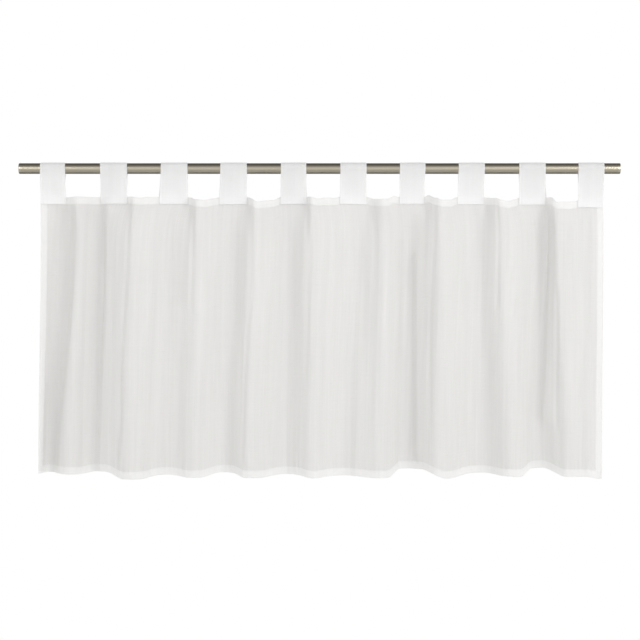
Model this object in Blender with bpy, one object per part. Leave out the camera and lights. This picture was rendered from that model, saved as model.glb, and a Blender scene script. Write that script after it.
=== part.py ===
"""Cafe curtain and rod: a sheer cloth panel that hangs by ten cloth tabs from a plain steel rod.

Units are metres and +Z is up. The origin is the centre of the rod's left end face. The rod runs
along +X, and the curtain's front, towards which its folds stand out, faces -Y. A depth below is
how far the cloth stands in front of the rod's axis, so it is the same as -Y.
"""

import math
from typing import NamedTuple

import bmesh
import bpy
import numpy as np

ROD_LENGTH = 0.912
ROD_RADIUS = 0.008
ROD_EDGE_BREAK = 0.0006
ROD_SIDES = 48

CLOTH_WIDTH = 0.960
CLOTH_DROP = 0.425
CLOTH_THICKNESS = 0.0010
HEM_THICKNESS = 0.0016
HEADING_BAND = 0.0110
BOTTOM_HEM = 0.0115
SIDE_HEM = 0.0100
HEM_STEP = 0.0015

TAB_THICKNESS = 0.0010
PIECE_GAP = 0.0003
HEADING_BELOW_ROD = 0.0432

# Below the stiff heading band, the depths of the heading die out in about this length.
HEADING_FADE = 0.022

# The panel's left edge at the hem.
LEFT_HEM_X = 0.0286
LEFT_HEM_DEPTH = -0.001

TAB_COLUMNS = 4
GAP_COLUMNS = 10
BODY_ROWS = 8
LEAF_ROWS = 2
WRAP_ROWS = 14
SAMPLES_PER_STATION = 24
LARGEST_DEPTH_SCALE = 3.0
HALVINGS = 24


class Tab(NamedTuple):
    """One tab: its two edges on the rod, its two edges on the heading, and the heading there."""

    rod_left: float
    rod_right: float
    left: float
    right: float
    left_depth: float
    right_depth: float
    drop: float


class Fold(NamedTuple):
    """One fold from its valley to the crest at its right, at the heading (top) and the hem."""

    top_valley_x: float
    top_crest_x: float
    top_crest_depth: float
    hem_valley_x: float
    hem_valley_depth: float
    hem_crest_x: float
    hem_crest_depth: float


TABS = [
    Tab(0.0328, 0.0708, 0.0328, 0.0703, 0.004, -0.003, 0.0000),
    Tab(0.1238, 0.1645, 0.1227, 0.1651, -0.007, 0.005, 0.0000),
    Tab(0.2157, 0.2560, 0.2129, 0.2559, 0.003, -0.003, 0.0000),
    Tab(0.3058, 0.3458, 0.3034, 0.3463, -0.001, 0.002, 0.0005),
    Tab(0.3974, 0.4357, 0.3965, 0.4366, -0.003, 0.003, 0.0000),
    Tab(0.4875, 0.5270, 0.4866, 0.5273, 0.003, -0.003, 0.0000),
    Tab(0.5776, 0.6162, 0.5771, 0.6143, 0.002, -0.001, 0.0000),
    Tab(0.6665, 0.7060, 0.6650, 0.7051, 0.002, -0.003, 0.0005),
    Tab(0.7582, 0.7980, 0.7586, 0.7991, 0.001, -0.002, 0.0010),
    Tab(0.8477, 0.8872, 0.8479, 0.8870, 0.001, -0.002, 0.0050),
]

# The last row ends at the panel's right edge.
FOLDS = [
    Fold(0.0650, 0.0900, 0.0130, 0.0445, -0.016, 0.0750, -0.001),
    Fold(0.1210, 0.1756, 0.020, 0.1130, -0.008, 0.1710, 0.021),
    Fold(0.2320, 0.2717, 0.018, 0.2230, 0.002, 0.2650, 0.013),
    Fold(0.3217, 0.3575, 0.020, 0.3100, -0.002, 0.3470, 0.014),
    Fold(0.4067, 0.4432, 0.019, 0.4010, 0.000, 0.4447, 0.016),
    Fold(0.5180, 0.5540, 0.016, 0.4960, 0.000, 0.5450, 0.0095),
    Fold(0.5905, 0.6388, 0.021, 0.5875, -0.0065, 0.6380, 0.016),
    Fold(0.6950, 0.7290, 0.019, 0.7020, -0.003, 0.7440, 0.011),
    Fold(0.8060, 0.8140, 0.013, 0.7865, -0.007, 0.8320, 0.010),
    Fold(0.8670, 0.8870, 0.000, 0.8600, 0.006, 0.8843, 0.002),
]

# Lower edge of the hem in front view: ends of its level stretches, as x and z.
HEM_LINE = [
    (0.0286, -0.4634), (0.0410, -0.4629), (0.0760, -0.4650), (0.0900, -0.4648), (0.1215, -0.4602),
    (0.1340, -0.4602), (0.1620, -0.4694), (0.1850, -0.4696), (0.2160, -0.4644), (0.2280, -0.4644),
    (0.2600, -0.4680), (0.2750, -0.4680), (0.3060, -0.4614), (0.3230, -0.4614), (0.3440, -0.4682),
    (0.3660, -0.4685), (0.4010, -0.4638), (0.4160, -0.4636), (0.4470, -0.4684), (0.4780, -0.4656),
    (0.4960, -0.4658), (0.5400, -0.4690), (0.5590, -0.4690), (0.5800, -0.4562), (0.6080, -0.4562),
    (0.6480, -0.4690), (0.6900, -0.4622), (0.7060, -0.4622), (0.7420, -0.4663), (0.7600, -0.4677),
    (0.7790, -0.4560), (0.7950, -0.4550), (0.8290, -0.4668), (0.8560, -0.4672), (0.8843, -0.4712),
]

# Upper edge of the heading between two tabs, the same way. At the tabs it is level.
HEADING_LINE = [
    (0.0954, -0.0433), (0.1850, -0.0452), (0.1986, -0.0438), (0.2600, -0.0441), (0.2685, -0.0478),
    (0.2807, -0.0487), (0.2989, -0.0447), (0.3627, -0.0511), (0.3763, -0.0490), (0.3854, -0.0476),
    (0.4538, -0.0464), (0.4644, -0.0450), (0.4811, -0.0447), (0.5404, -0.0468), (0.5586, -0.0473),
    (0.5685, -0.0418), (0.6208, -0.0407), (0.6315, -0.0458), (0.6406, -0.0486), (0.6543, -0.0479),
    (0.7226, -0.0458), (0.7295, -0.0488), (0.7408, -0.0502), (0.7530, -0.0470), (0.8070, -0.0440),
    (0.8150, -0.0515), (0.8320, -0.0511), (0.8441, -0.0500),
]


def clear_scene():
    """Remove every object that the file holds."""
    for thing in list(bpy.data.objects):
        bpy.data.objects.remove(thing, do_unlink=True)


def make_material(name, colour, roughness, metallic=0.0):
    """Plain Principled material of one colour."""
    material = bpy.data.materials.new(name)
    material.use_nodes = True
    shader = material.node_tree.nodes["Principled BSDF"]
    shader.inputs["Base Color"].default_value = (*colour, 1.0)
    shader.inputs["Roughness"].default_value = roughness
    shader.inputs["Metallic"].default_value = metallic
    material.diffuse_color = (*colour, 1.0)
    return material


def add_object(name, mesh, material, parent):
    """Put a mesh into the scene under the curtain's empty."""
    mesh.materials.append(material)
    thing = bpy.data.objects.new(name, mesh)
    bpy.context.collection.objects.link(thing)
    thing.parent = parent
    return thing


def hermite(at, knots, values, slopes):
    """Cubic curve that passes each knot at its value and with its slope."""
    index = np.clip(np.searchsorted(knots, at, side="right") - 1, 0, len(knots) - 2)
    span = knots[index + 1] - knots[index]
    s = (at - knots[index]) / span
    start = (1 + 2 * s) * (1 - s) ** 2 * values[index] + s * (1 - s) ** 2 * span * slopes[index]
    end = s * s * (3 - 2 * s) * values[index + 1] - s * s * (1 - s) * span * slopes[index + 1]
    return start + end


def level_curve(at, knots, values):
    """Curve that is level at each knot, so that every knot is a crest, a valley or a flat."""
    return hermite(at, knots, values, np.zeros(len(knots)))


def stations():
    """Columns of the fold table as one line of stations: left edge, valley, crest, valley, ..."""
    top_x = [TABS[0].left]
    hem_x = [LEFT_HEM_X]
    hem_depth = [LEFT_HEM_DEPTH]
    for fold in FOLDS:
        top_x += [fold.top_valley_x, fold.top_crest_x]
        hem_x += [fold.hem_valley_x, fold.hem_crest_x]
        hem_depth += [fold.hem_valley_depth, fold.hem_crest_depth]
    return np.array(top_x), np.array(hem_x), np.array(hem_depth)


def heading_depth(x):
    """Depth of the heading: straight and tilted at each tab, an arch out to a crest between two."""
    knots = []
    values = []
    slopes = []
    for number, tab in enumerate(TABS):
        tilt = (tab.right_depth - tab.left_depth) / (tab.right - tab.left)
        knots += [tab.left, tab.right]
        values += [tab.left_depth, tab.right_depth]
        slopes += [tilt, tilt]
        if number < len(TABS) - 1:
            knots.append(FOLDS[number].top_crest_x)
            values.append(FOLDS[number].top_crest_depth)
            slopes.append(0.0)
    return hermite(x, np.array(knots), np.array(values), np.array(slopes))


def heading_height(x):
    """Height of the heading's upper edge: level at each tab, sagging and bunching between them."""
    at_tabs = []
    for tab in TABS:
        level = -HEADING_BELOW_ROD - tab.drop
        at_tabs += [(tab.left, level), (tab.right, level)]
    return level_curve(x, *np.array(sorted(HEADING_LINE + at_tabs)).T)


def plan_length(x, depth):
    """Length along a plan curve up to each of its points."""
    steps = np.hypot(np.diff(x), np.diff(depth))
    return np.concatenate([[0.0], np.cumsum(steps)])


def fill_width(x, depth):
    """Scale all depths alike until the plan is as long as the flat cloth is wide."""
    low, high = 0.0, LARGEST_DEPTH_SCALE
    for _ in range(HALVINGS):
        scale = (low + high) / 2
        if plan_length(x, depth * scale)[-1] < CLOTH_WIDTH:
            low = scale
        else:
            high = scale
    return depth * scale


def plan_at(drop, line):
    """Plan of the cloth at a drop below its upper edge, for stations counted along line.

    The heading band keeps one plan. Below it the stations move from their places at the heading
    to those at the hem, most of the way in the middle of the drop. The depths are scaled at each
    height, because the cloth doesn't stretch. The last array is the length along the cloth.
    """
    top_x, hem_x, hem_depth = stations()
    number = np.arange(len(top_x))
    from_top = np.interp(line, number, top_x)
    from_hem = np.interp(line, number, hem_x)
    below = max(drop - HEADING_BAND, 0.0)
    down = below / (CLOTH_DROP - HEADING_BAND)
    lean = down * down * (3 - 2 * down)
    freed = 1 - math.exp(-below / HEADING_FADE)
    x = from_top + (from_hem - from_top) * lean
    depth = (1 - freed) * heading_depth(from_top) + freed * level_curve(line, number, hem_depth)
    depth = fill_width(x, depth)
    length = plan_length(x, depth)
    return x, depth, length * CLOTH_WIDTH / length[-1]


def cloth_columns(x, length):
    """Places across the flat cloth where the columns run: even on each tab and in each gap."""
    edges = np.interp([edge for tab in TABS for edge in (tab.left, tab.right)], x, length)
    edges[0], edges[-1] = 0.0, CLOTH_WIDTH
    columns = [np.array([0.0])]
    for number in range(len(edges) - 1):
        count = GAP_COLUMNS if number % 2 else TAB_COLUMNS
        columns.append(np.linspace(edges[number], edges[number + 1], count + 1)[1:])
    return np.concatenate(columns)


def cloth_rows():
    """Drops at which the rows run: both bands have a close pair of rows where they end."""
    body = np.linspace(HEADING_BAND + HEM_STEP, CLOTH_DROP - BOTTOM_HEM - HEM_STEP, BODY_ROWS + 1)
    return np.concatenate([[0.0, HEADING_BAND], body, [CLOTH_DROP - BOTTOM_HEM, CLOTH_DROP]])


def cloth_surface():
    """Middle surface of the hanging panel, as rows by columns of points."""
    last = 2 * len(FOLDS)
    line = np.linspace(0, last, SAMPLES_PER_STATION * last + 1)
    drops = cloth_rows()
    top_x, _, top_length = plan_at(0.0, line)
    columns = cloth_columns(top_x, top_length)
    upper = heading_height(np.interp(columns, top_length, top_x))
    hem_x, _, hem_length = plan_at(CLOTH_DROP, line)
    lower = level_curve(np.interp(columns, hem_length, hem_x), *np.array(HEM_LINE).T)
    points = np.empty((len(drops), len(columns), 3))
    for row, drop in enumerate(drops):
        x, depth, length = plan_at(drop, line)
        points[row, :, 0] = np.interp(columns, length, x)
        points[row, :, 1] = -np.interp(columns, length, depth)
        points[row, :, 2] = upper + (lower - upper) * drop / CLOTH_DROP
    return points, drops, columns


def front_normals(points):
    """Unit vectors square to a surface of points, on its front."""
    down = np.gradient(points, axis=0)
    across = np.gradient(points, axis=1)
    normals = np.cross(down, across)
    return normals / np.linalg.norm(normals, axis=2, keepdims=True)


def sheet_mesh(name, points):
    """Mesh of quads over rows by columns of points: down times across is the way they face."""
    rows, columns = points.shape[:2]
    place = np.arange(rows * columns).reshape(rows, columns)
    quads = np.stack([place[:-1, :-1], place[1:, :-1], place[1:, 1:], place[:-1, 1:]], axis=-1)
    mesh = bpy.data.meshes.new(name)
    mesh.from_pydata(points.reshape(-1, 3).tolist(), [], quads.reshape(-1, 4).tolist())
    mesh.shade_smooth()
    return mesh


def thicken(thing, thickness):
    """Give a sheet its thickness, half on each side."""
    solidify = thing.modifiers.new("Thickness", "SOLIDIFY")
    solidify.thickness = thickness
    solidify.offset = 0.0
    solidify.use_even_offset = True
    solidify.use_quality_normals = True
    return solidify


def make_rod(material, parent):
    """Plain round rod with its end edges just broken, from the origin along +X."""
    mesh = bpy.data.meshes.new("rod")
    shape = bmesh.new()
    bmesh.ops.create_cone(shape, cap_ends=True, segments=ROD_SIDES, radius1=ROD_RADIUS,
                          radius2=ROD_RADIUS, depth=ROD_LENGTH)
    rims = [edge for edge in shape.edges if any(len(face.verts) > 4 for face in edge.link_faces)]
    bmesh.ops.bevel(shape, geom=rims, offset=ROD_EDGE_BREAK, segments=1, affect="EDGES")
    shape.to_mesh(mesh)
    shape.free()
    mesh.shade_smooth()
    mesh.set_sharp_from_angle(angle=math.radians(30))
    rod = add_object("rod", mesh, material, parent)
    rod.rotation_euler = (0.0, math.pi / 2, 0.0)
    rod.location = (ROD_LENGTH / 2, 0.0, 0.0)


def make_panel(points, drops, columns, material, parent):
    """The panel with its folds. Its heading, side hems and bottom hem are thicker bands."""
    panel = add_object("panel", sheet_mesh("panel", points), material, parent)
    banded_rows = (drops <= HEADING_BAND) | (drops >= CLOTH_DROP - BOTTOM_HEM)
    banded_columns = (columns < SIDE_HEM) | (columns > CLOTH_WIDTH - SIDE_HEM)
    banded = banded_rows[:, None] | banded_columns[None, :]
    hems = panel.vertex_groups.new(name="hems")
    hems.add(np.flatnonzero(banded).tolist(), 1.0, "REPLACE")
    solidify = thicken(panel, HEM_THICKNESS)
    solidify.vertex_group = hems.name
    solidify.thickness_vertex_group = CLOTH_THICKNESS / HEM_THICKNESS


def wrap_radius():
    """Radius of a tab's middle surface on the rod, so that its flats clear the rod by the gap."""
    clear = ROD_RADIUS + PIECE_GAP + TAB_THICKNESS / 2
    return clear / math.cos(math.pi / 2 / WRAP_ROWS)


def tangent_angle(foot, side):
    """Angle on the rod where a leaf that comes straight from its foot meets it: back 1, front -1."""
    reach = np.hypot(foot[:, 1], foot[:, 2])
    around = np.arctan2(foot[:, 2], foot[:, 1])
    return around + side * np.arccos(wrap_radius() / reach)


def tab_surface(tab, band, normals):
    """Middle surface of one tab: up behind the heading, over the rod and down in front.

    The two rows of points in band are the heading's upper edge and its stitch line. Each leaf
    lies one gap off the heading and leaves it straight for the rod.
    """
    off = (HEM_THICKNESS + TAB_THICKNESS) / 2 + PIECE_GAP
    front = band + normals * off
    back = band - normals * off
    start = tangent_angle(back[0], 1)
    finish = tangent_angle(front[0], -1) + 2 * math.pi
    turn = np.linspace(start, finish, WRAP_ROWS + 1)
    around = np.empty((WRAP_ROWS + 1, TAB_COLUMNS + 1, 3))
    around[..., 0] = np.linspace(tab.rod_left, tab.rod_right, TAB_COLUMNS + 1)
    around[..., 1] = wrap_radius() * np.cos(turn)
    around[..., 2] = wrap_radius() * np.sin(turn)
    climb = np.linspace(0, 1, LEAF_ROWS + 1)[1:-1, None, None]
    rising = back[0] + (around[0] - back[0]) * climb
    falling = around[-1] + (front[0] - around[-1]) * climb
    return np.concatenate([back[::-1], rising, around, falling, front])


def make_tabs(points, columns, material, parent):
    """All the tabs, each on its own stretch of the heading."""
    normals = front_normals(points)
    stride = TAB_COLUMNS + GAP_COLUMNS
    for number, tab in enumerate(TABS):
        here = slice(number * stride, number * stride + TAB_COLUMNS + 1)
        surface = tab_surface(tab, points[:2, here], normals[:2, here])
        name = f"tab_{number + 1:02d}"
        piece = add_object(name, sheet_mesh(name, surface), material, parent)
        thicken(piece, TAB_THICKNESS)


def main():
    """Build the rod, the panel and the tabs under one empty."""
    clear_scene()
    cloth = make_material("sheer_cloth", (0.86, 0.86, 0.85), 0.9)
    tab_cloth = make_material("tab_cloth", (0.90, 0.90, 0.89), 0.9)
    steel = make_material("brushed_steel", (0.56, 0.53, 0.49), 0.35, 1.0)
    curtain = bpy.data.objects.new("curtain", None)
    bpy.context.collection.objects.link(curtain)
    make_rod(steel, curtain)
    points, drops, columns = cloth_surface()
    make_panel(points, drops, columns, cloth, curtain)
    make_tabs(points, columns, tab_cloth, curtain)


main()
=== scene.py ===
"""Looks of a cafe curtain: a sheer panel that hangs by ten cloth tabs from a brushed steel rod.

Units are metres and +Z is up. The origin is the centre of the rod's left end face. The rod runs
along +X, and the curtain's front faces -Y. A depth is how far the cloth stands in front of the
rod's axis. A place on the flat cloth is given by how far it lies across from the left edge and
by its drop below the upper edge.
"""

import math
from typing import NamedTuple

import bpy
import numpy as np
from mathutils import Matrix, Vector


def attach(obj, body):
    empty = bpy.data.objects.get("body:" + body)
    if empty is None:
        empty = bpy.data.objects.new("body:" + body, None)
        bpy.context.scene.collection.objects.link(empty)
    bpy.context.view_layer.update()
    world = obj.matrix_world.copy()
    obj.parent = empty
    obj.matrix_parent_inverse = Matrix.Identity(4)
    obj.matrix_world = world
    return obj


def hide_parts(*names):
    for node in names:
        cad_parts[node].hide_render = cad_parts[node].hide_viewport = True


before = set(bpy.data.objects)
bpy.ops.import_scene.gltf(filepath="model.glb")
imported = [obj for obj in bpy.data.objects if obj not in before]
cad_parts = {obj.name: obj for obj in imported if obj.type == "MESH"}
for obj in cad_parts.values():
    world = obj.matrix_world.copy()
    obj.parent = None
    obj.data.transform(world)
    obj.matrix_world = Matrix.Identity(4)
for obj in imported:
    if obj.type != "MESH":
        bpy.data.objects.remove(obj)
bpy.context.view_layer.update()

bl_info = {
    "name": "Cafe Curtain",
    "version": (1, 0, 0),
    "blender": (4, 5, 0),
    "location": "3D View > Sidebar > Curtain",
    "description": "Makes a tab top cafe curtain, its stitching, its rod and a studio to show it",
    "category": "Add Mesh",
}

ROD_LENGTH = 0.912
ROD_RADIUS = 0.008
CLOTH_WIDTH = 0.960
CLOTH_DROP = 0.425
HEADING_BAND = 0.0110
BOTTOM_HEM = 0.0115
SIDE_HEM = 0.0100
HEADING_BELOW_ROD = 0.0432
# Below the heading its own plan dies away by this much for each factor of e.
HEADING_FADE = 0.022
LEFT_HEM_X = 0.0286
LEFT_HEM_DEPTH = -0.001
SAMPLES_PER_STATION = 24
LARGEST_DEPTH_SCALE = 3.0
HALVINGS = 24

# A crease dies out within this much beyond either end of its path.
CREASE_FADE = 0.030
# Drops at which the places of the longest creases are given.
CREASE_DROPS = (0.0227, 0.0576, 0.1032, 0.1564, 0.2171, 0.2779, 0.3386)
# Next to a hem the cloth's back steps out within this much.
HEM_STEP = 0.0008
# The cloth's colour turns from this much before a hem's edge to this much past it.
HEM_BLUR = 0.0004
OPEN_COLUMNS = 474
OPEN_ROWS = 58
# Stitches lie this far inside the edge of the hem, heading or strap that they hold.
SEAM_INSET = 0.0011
TAB_WIDTH = 0.040
# Share of a tab's distance from the middle by which its back leaf stands further out. The outer
# edges of the first and the last tab stay over the panel's edges.
TAB_SPLAY = 0.0040
# On the cloth map every tab's front foot ends at this length. Its back foot ends near 0.
TAB_LENGTH = 0.120
# On the cloth map each tab lies this far beside the one before.
TAB_STRIDE = 0.053
TAB_ROW = 0.00025
# Space between the rod and a tab besides the tab's own gap.
ROD_CLEARANCE = 0.0001
ROD_SIDES = 96
# The rod's bore is open this far in from either end.
BORE_DEPTH = 0.040
# Size of the broken edge round each bore's mouth.
BORE_BREAK = 0.0003
# X and Z that the camera looks straight at.
VIEW_X = 0.4566
VIEW_Z = -0.230
RIPPLE_SEED = 11
BOW_SEED = 40
WHITE = (1.0, 1.0, 1.0, 1.0)


class Tab(NamedTuple):
    """One tab: its two edges on the rod, its two edges on the heading, and the heading there."""

    rod_left: float
    rod_right: float
    left: float
    right: float
    left_depth: float
    right_depth: float
    drop: float


class Fold(NamedTuple):
    """One fold from its valley to the crest at its right, at the heading (top) and the hem."""

    top_valley_x: float
    top_crest_x: float
    top_crest_depth: float
    hem_valley_x: float
    hem_valley_depth: float
    hem_crest_x: float
    hem_crest_depth: float


class Crease(NamedTuple):
    """One line down the cloth: a groove pushed in, a step out to the right, and where it runs."""

    groove: float
    step: float
    width: float
    drops: tuple
    places: tuple


TABS = [
    Tab(0.0328, 0.0708, 0.0328, 0.0703, 0.004, -0.003, 0.0000),
    Tab(0.1238, 0.1645, 0.1227, 0.1651, -0.007, 0.005, 0.0000),
    Tab(0.2157, 0.2560, 0.2129, 0.2559, 0.003, -0.003, 0.0000),
    Tab(0.3058, 0.3458, 0.3034, 0.3463, -0.001, 0.002, 0.0005),
    Tab(0.3974, 0.4357, 0.3965, 0.4366, -0.003, 0.003, 0.0000),
    Tab(0.4875, 0.5270, 0.4866, 0.5273, 0.003, -0.003, 0.0000),
    Tab(0.5776, 0.6162, 0.5771, 0.6143, 0.002, -0.001, 0.0000),
    Tab(0.6665, 0.7060, 0.6650, 0.7051, 0.002, -0.003, 0.0005),
    Tab(0.7582, 0.7980, 0.7586, 0.7991, 0.001, -0.002, 0.0010),
    Tab(0.8477, 0.8872, 0.8479, 0.8870, 0.001, -0.002, 0.0050),
]

# The last row ends at the panel's right edge.
FOLDS = [
    Fold(0.0650, 0.0900, 0.0130, 0.0445, -0.016, 0.0750, -0.001),
    Fold(0.1210, 0.1756, 0.020, 0.1130, -0.008, 0.1710, 0.021),
    Fold(0.2320, 0.2717, 0.018, 0.2230, 0.002, 0.2650, 0.013),
    Fold(0.3217, 0.3575, 0.020, 0.3100, -0.002, 0.3470, 0.014),
    Fold(0.4067, 0.4432, 0.019, 0.4010, 0.000, 0.4447, 0.016),
    Fold(0.5180, 0.5540, 0.016, 0.4960, 0.000, 0.5450, 0.0095),
    Fold(0.5905, 0.6388, 0.021, 0.5875, -0.0065, 0.6380, 0.016),
    Fold(0.6950, 0.7290, 0.019, 0.7020, -0.003, 0.7440, 0.011),
    Fold(0.8060, 0.8140, 0.013, 0.7865, -0.007, 0.8320, 0.010),
    Fold(0.8670, 0.8870, 0.000, 0.8600, 0.006, 0.8843, 0.002),
]

# Lower edge of the hem in front view: ends of its level stretches, as x and z.
HEM_LINE = [
    (0.0286, -0.4634), (0.0410, -0.4629), (0.0760, -0.4650), (0.0900, -0.4648), (0.1215, -0.4602),
    (0.1340, -0.4602), (0.1620, -0.4694), (0.1850, -0.4696), (0.2160, -0.4644), (0.2280, -0.4644),
    (0.2600, -0.4680), (0.2750, -0.4680), (0.3060, -0.4614), (0.3230, -0.4614), (0.3440, -0.4682),
    (0.3660, -0.4685), (0.4010, -0.4638), (0.4160, -0.4636), (0.4470, -0.4684), (0.4780, -0.4656),
    (0.4960, -0.4658), (0.5400, -0.4690), (0.5590, -0.4690), (0.5800, -0.4562), (0.6080, -0.4562),
    (0.6480, -0.4690), (0.6900, -0.4622), (0.7060, -0.4622), (0.7420, -0.4663), (0.7600, -0.4677),
    (0.7790, -0.4560), (0.7950, -0.4550), (0.8290, -0.4668), (0.8560, -0.4672), (0.8843, -0.4712),
]

# Upper edge of the heading between two tabs, the same way. At the tabs it is level.
HEADING_LINE = [
    (0.0954, -0.0433), (0.1850, -0.0452), (0.1986, -0.0438), (0.2600, -0.0441), (0.2685, -0.0478),
    (0.2807, -0.0487), (0.2989, -0.0447), (0.3627, -0.0511), (0.3763, -0.0490), (0.3854, -0.0476),
    (0.4538, -0.0464), (0.4644, -0.0450), (0.4811, -0.0447), (0.5404, -0.0468), (0.5586, -0.0473),
    (0.5685, -0.0418), (0.6208, -0.0407), (0.6315, -0.0458), (0.6406, -0.0486), (0.6543, -0.0479),
    (0.7226, -0.0458), (0.7295, -0.0488), (0.7408, -0.0502), (0.7530, -0.0470), (0.8070, -0.0440),
    (0.8150, -0.0515), (0.8320, -0.0511), (0.8441, -0.0500),
]

CREASES = [
    Crease(0.0, 0.0052, 0.0085,
           (*CREASE_DROPS, 0.4250),
           (0.0850, 0.0840, 0.0820, 0.0790, 0.0730, 0.0670, 0.0590, 0.0510)),
    Crease(0.0, 0.0086, 0.0078,
           (*CREASE_DROPS, 0.4250),
           (0.1290, 0.1304, 0.1302, 0.1284, 0.1262, 0.1234, 0.1208, 0.1170)),
    Crease(0.0026, 0.0, 0.0030,
           (*CREASE_DROPS, 0.3918),
           (0.1706, 0.1683, 0.1668, 0.1630, 0.1588, 0.1565, 0.1561, 0.1516)),
    Crease(0.0017, 0.0, 0.0026,
           (0.0300, 0.0576, 0.1032, 0.1564),
           (0.2640, 0.2647, 0.2640, 0.2617)),
    Crease(0.0, -0.0022, 0.0080,
           (0.1800, 0.2171, 0.3386, 0.4250),
           (0.2470, 0.2430, 0.2350, 0.2320)),
    Crease(0.0015, 0.0, 0.0026,
           (*CREASE_DROPS, 0.3918),
           (0.3532, 0.3532, 0.3528, 0.3513, 0.3460, 0.3422, 0.3406, 0.3384)),
    Crease(0.0, -0.0015, 0.0080,
           (0.1900, 0.3386, 0.4250),
           (0.3310, 0.3280, 0.3260)),
    Crease(0.0013, 0.0, 0.0026,
           (0.0800, 0.1032, 0.1564, 0.2171, 0.2779),
           (0.4412, 0.4409, 0.4386, 0.4371, 0.4352)),
    Crease(0.0, -0.0009, 0.0070,
           (0.1900, 0.4250),
           (0.4190, 0.4173)),
    Crease(0.0, -0.0022, 0.0085,
           (0.1564, 0.2779, 0.4250),
           (0.5240, 0.5200, 0.5190)),
    Crease(0.0, 0.0042, 0.0052,
           (0.1032, 0.1564, 0.3918),
           (0.6005, 0.6005, 0.6005)),
    Crease(0.0014, 0.0, 0.0027,
           CREASE_DROPS,
           (0.6299, 0.6292, 0.6269, 0.6243, 0.6224, 0.6224, 0.6224)),
    Crease(0.0019, 0.0, 0.0026,
           CREASE_DROPS[:4],
           (0.7249, 0.7260, 0.7253, 0.7241)),
    Crease(0.0, 0.0050, 0.0060,
           (0.0227, 0.1032, 0.2171, 0.3386),
           (0.8025, 0.8025, 0.7990, 0.7935)),
    Crease(0.0019, 0.0, 0.0025,
           (0.1564, 0.3386),
           (0.8149, 0.8149)),
]


def hermite(at, knots, values, slopes):
    """Cubic curve that passes each knot at its value and with its slope."""
    index = np.clip(np.searchsorted(knots, at, side="right") - 1, 0, len(knots) - 2)
    span = knots[index + 1] - knots[index]
    s = (at - knots[index]) / span
    start = (1 + 2 * s) * (1 - s) ** 2 * values[index] + s * (1 - s) ** 2 * span * slopes[index]
    end = s * s * (3 - 2 * s) * values[index + 1] - s * s * (1 - s) * span * slopes[index + 1]
    return start + end


def level_curve(at, knots, values):
    """Curve that is level at each knot, so that every knot is a crest, a valley or a flat."""
    return hermite(at, knots, values, np.zeros(len(knots)))


def ease(value, low, high):
    """Smooth S from 0 at low to 1 at high: 3 s squared less 2 s cubed."""
    s = np.clip((value - low) / (high - low), 0, 1)
    return s * s * (3 - 2 * s)


def bell(value, width):
    """Bell curve, e to the minus half of the square of value over width."""
    return np.exp(-((value / width) ** 2) / 2)


def unit(vectors):
    """Vectors scaled to a length of one."""
    return vectors / np.linalg.norm(vectors, axis=-1, keepdims=True)


def stations():
    """Columns of the fold table as one line of stations: left edge, valley, crest, valley, ..."""
    top_x = [TABS[0].left]
    hem_x = [LEFT_HEM_X]
    hem_depth = [LEFT_HEM_DEPTH]
    for fold in FOLDS:
        top_x += [fold.top_valley_x, fold.top_crest_x]
        hem_x += [fold.hem_valley_x, fold.hem_crest_x]
        hem_depth += [fold.hem_valley_depth, fold.hem_crest_depth]
    return np.array(top_x), np.array(hem_x), np.array(hem_depth)


def heading_depth(x):
    """Depth of the heading: straight and tilted at each tab, an arch out to a crest between two."""
    knots = []
    values = []
    slopes = []
    for number, tab in enumerate(TABS):
        tilt = (tab.right_depth - tab.left_depth) / (tab.right - tab.left)
        knots += [tab.left, tab.right]
        values += [tab.left_depth, tab.right_depth]
        slopes += [tilt, tilt]
        if number < len(TABS) - 1:
            knots.append(FOLDS[number].top_crest_x)
            values.append(FOLDS[number].top_crest_depth)
            slopes.append(0.0)
    return hermite(x, np.array(knots), np.array(values), np.array(slopes))


def heading_height(x):
    """Height of the heading's upper edge: level at each tab, sagging and bunching between them."""
    at_tabs = []
    for tab in TABS:
        level = -HEADING_BELOW_ROD - tab.drop
        at_tabs += [(tab.left, level), (tab.right, level)]
    return level_curve(x, *np.array(sorted(HEADING_LINE + at_tabs)).T)


def running_total(steps):
    """Sum of all the steps up to each point, from 0 at the first."""
    return np.concatenate([[0.0], np.cumsum(steps)])


def plan_length(x, depth):
    """Length along a plan curve up to each of its points."""
    return running_total(np.hypot(np.diff(x), np.diff(depth)))


def fill_width(x, depth):
    """Scale all depths alike until the plan is as long as the flat cloth is wide."""
    low, high = 0.0, LARGEST_DEPTH_SCALE
    for _ in range(HALVINGS):
        scale = (low + high) / 2
        if plan_length(x, depth * scale)[-1] < CLOTH_WIDTH:
            low = scale
        else:
            high = scale
    return depth * scale


def plan_line():
    """Even steps along the line of stations, at which every plan is worked out."""
    last = 2 * len(FOLDS)
    return np.linspace(0, last, SAMPLES_PER_STATION * last + 1)


def plan_at(drop):
    """Plan of the cloth at a drop below its upper edge: x, depth and length along the cloth.

    The heading band keeps one plan. Below it the stations move from their places at the heading
    to those at the hem, most of the way in the middle of the drop. The depths are scaled at each
    height, because the cloth doesn't stretch.
    """
    top_x, hem_x, hem_depth = stations()
    line = plan_line()
    number = np.arange(len(top_x))
    from_top = np.interp(line, number, top_x)
    from_hem = np.interp(line, number, hem_x)
    below = max(drop - HEADING_BAND, 0.0)
    down = below / (CLOTH_DROP - HEADING_BAND)
    lean = down * down * (3 - 2 * down)
    freed = 1 - math.exp(-below / HEADING_FADE)
    x = from_top + (from_hem - from_top) * lean
    depth = (1 - freed) * heading_depth(from_top) + freed * level_curve(line, number, hem_depth)
    depth = fill_width(x, depth)
    length = plan_length(x, depth)
    return x, depth, length * CLOTH_WIDTH / length[-1]


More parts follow.
